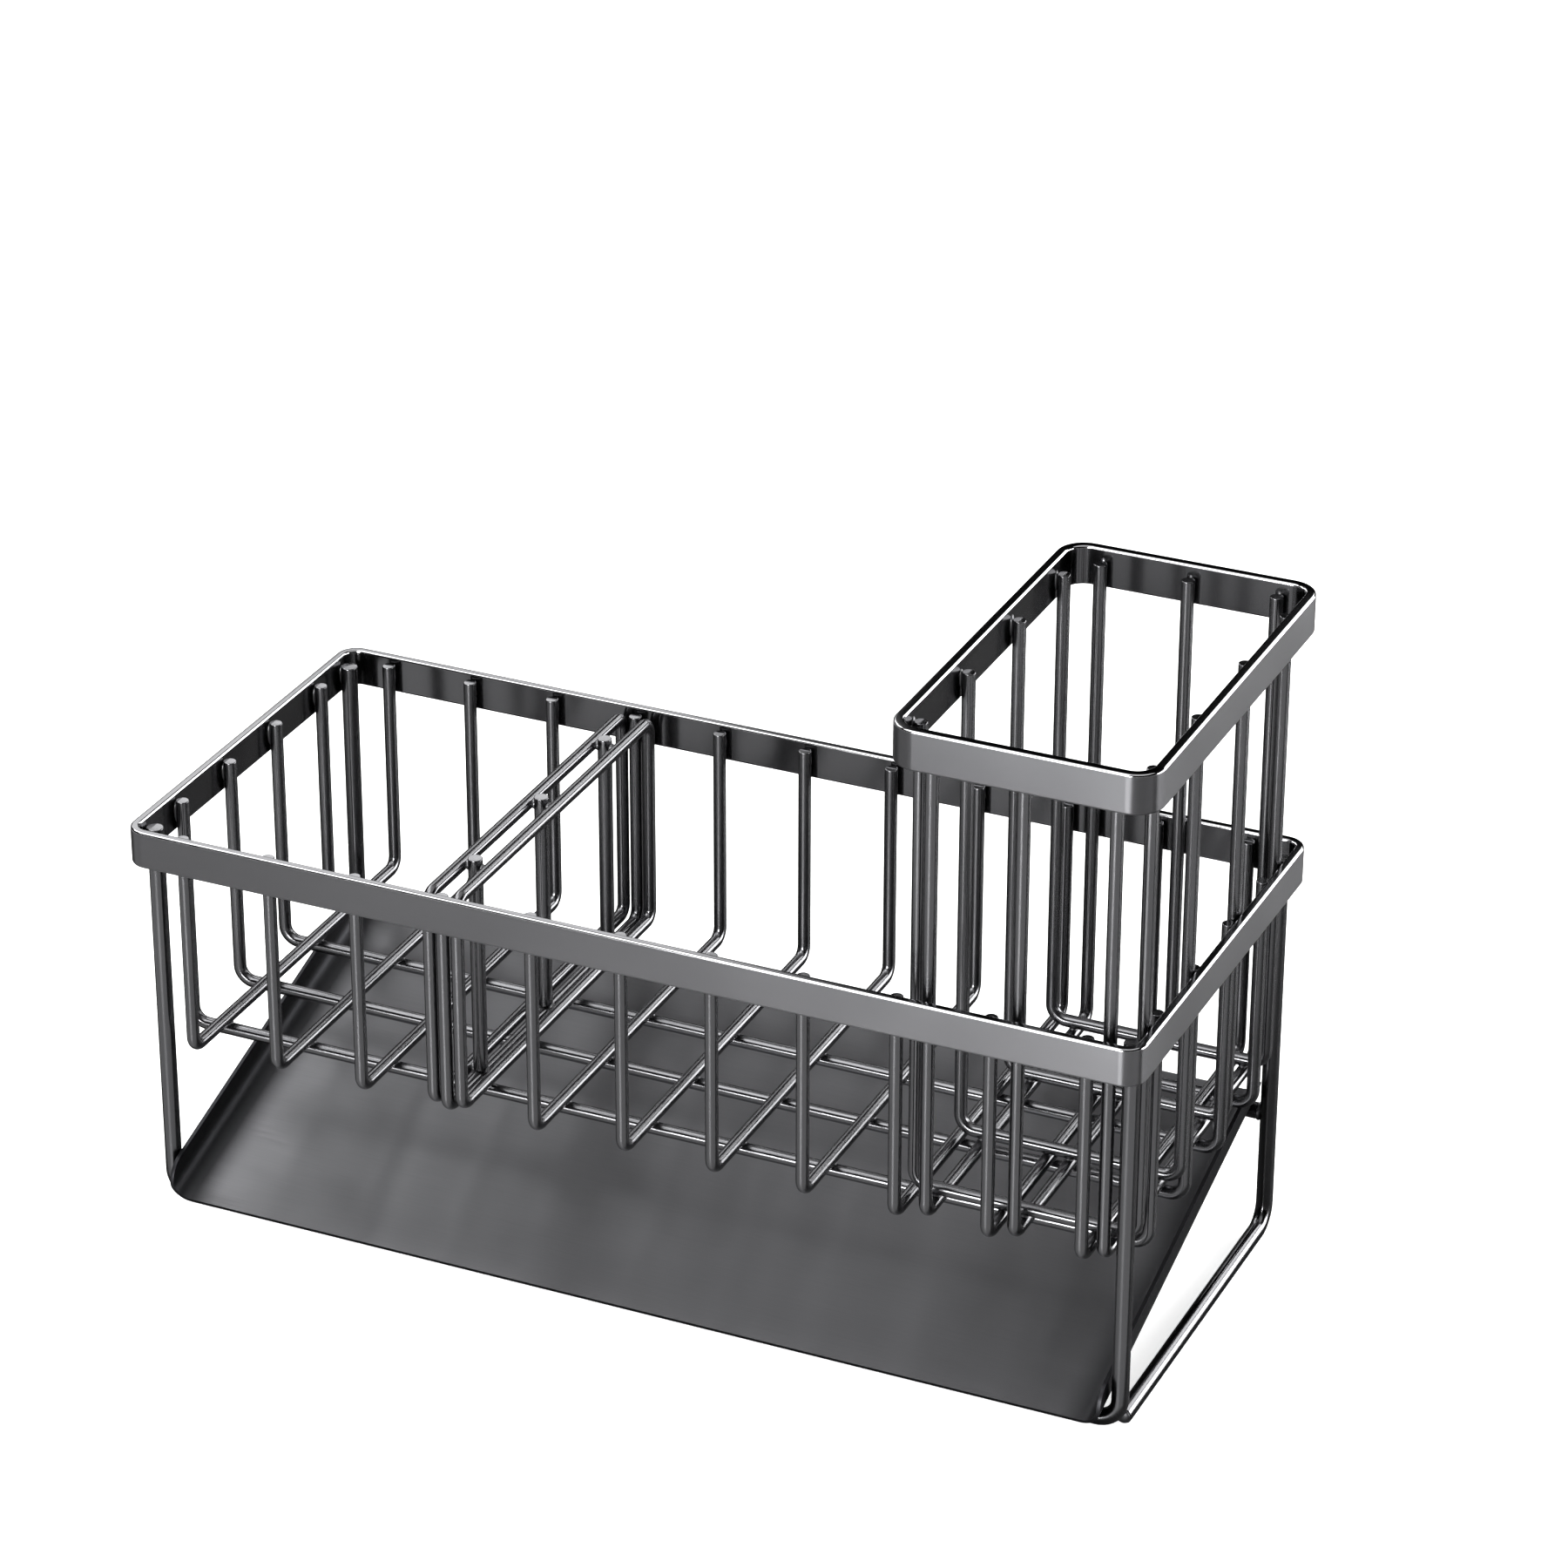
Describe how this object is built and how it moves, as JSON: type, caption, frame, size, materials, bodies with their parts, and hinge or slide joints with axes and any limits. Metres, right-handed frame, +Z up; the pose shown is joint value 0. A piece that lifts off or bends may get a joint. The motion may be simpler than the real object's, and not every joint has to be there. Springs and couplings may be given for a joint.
{
  "type": "sink_caddy",
  "caption": "Free-standing wire sink caddy with a strip rim, a sloping pull-out drip tray, a lift-out divider and a taller lift-out brush basket at one end.",
  "frame": {"origin": "on the ground, under the middle of the caddy's length and depth", "axes": "+X along the length towards the end with the brush basket, +Y from the tray's open front to the back, +Z up"},
  "size_m": [0.2503, 0.1084, 0.1651],
  "materials": {
    "gunmetal_strip": "polished dark gunmetal on stainless steel strip",
    "gunmetal_wire": "polished dark gunmetal on 3 mm stainless steel wire",
    "gunmetal_frame_wire": "polished dark gunmetal on 4 mm stainless steel wire",
    "gunmetal_sheet": "satin dark gunmetal on 0.9 mm stainless steel sheet"
  },
  "bodies": {
    "basket": {"rim_band": "gunmetal_strip", "basket_rib_01": "gunmetal_wire", "basket_rib_02": "gunmetal_wire", "basket_rib_03": "gunmetal_wire", "basket_rib_04": "gunmetal_wire", "basket_rib_05": "gunmetal_wire", "basket_rib_06": "gunmetal_wire", "basket_rib_07": "gunmetal_wire", "basket_rib_08": "gunmetal_wire", "basket_rib_09": "gunmetal_wire", "basket_rib_10": "gunmetal_wire", "basket_rib_11": "gunmetal_wire", "basket_cross_wire_1": "gunmetal_wire", "basket_cross_wire_2": "gunmetal_wire", "basket_cross_wire_3": "gunmetal_wire", "basket_cross_wire_4": "gunmetal_wire", "front_frame": "gunmetal_frame_wire", "side_frame_left": "gunmetal_frame_wire", "side_frame_right": "gunmetal_frame_wire", "rear_rail": "gunmetal_frame_wire"},
    "drip_tray": {"drip_tray": "gunmetal_sheet"},
    "divider": {"divider_loop_left": "gunmetal_wire", "divider_loop_right": "gunmetal_wire", "divider_post_1": "gunmetal_wire", "divider_post_2": "gunmetal_wire", "divider_post_3": "gunmetal_wire"},
    "brush_basket": {"brush_rim_band": "gunmetal_strip", "brush_rib_1": "gunmetal_wire", "brush_rib_2": "gunmetal_wire", "brush_rib_3": "gunmetal_wire", "brush_cross_wire_1": "gunmetal_wire", "brush_cross_wire_2": "gunmetal_wire", "brush_cross_wire_3": "gunmetal_wire", "brush_cross_wire_4": "gunmetal_wire"}
  },
  "joints": [
    {"name": "tray_slide", "type": "slide", "parent": "basket", "child": "drip_tray", "axis": [0, -1, 0], "range_m": [0, 0.105]},
    {"name": "divider_lift", "type": "slide", "parent": "basket", "child": "divider", "axis": [0, 0, 1], "range_m": [0, 0.06]},
    {"name": "brush_basket_lift", "type": "slide", "parent": "basket", "child": "brush_basket", "axis": [0, 0, 1], "range_m": [0, 0.065]}
  ]
}
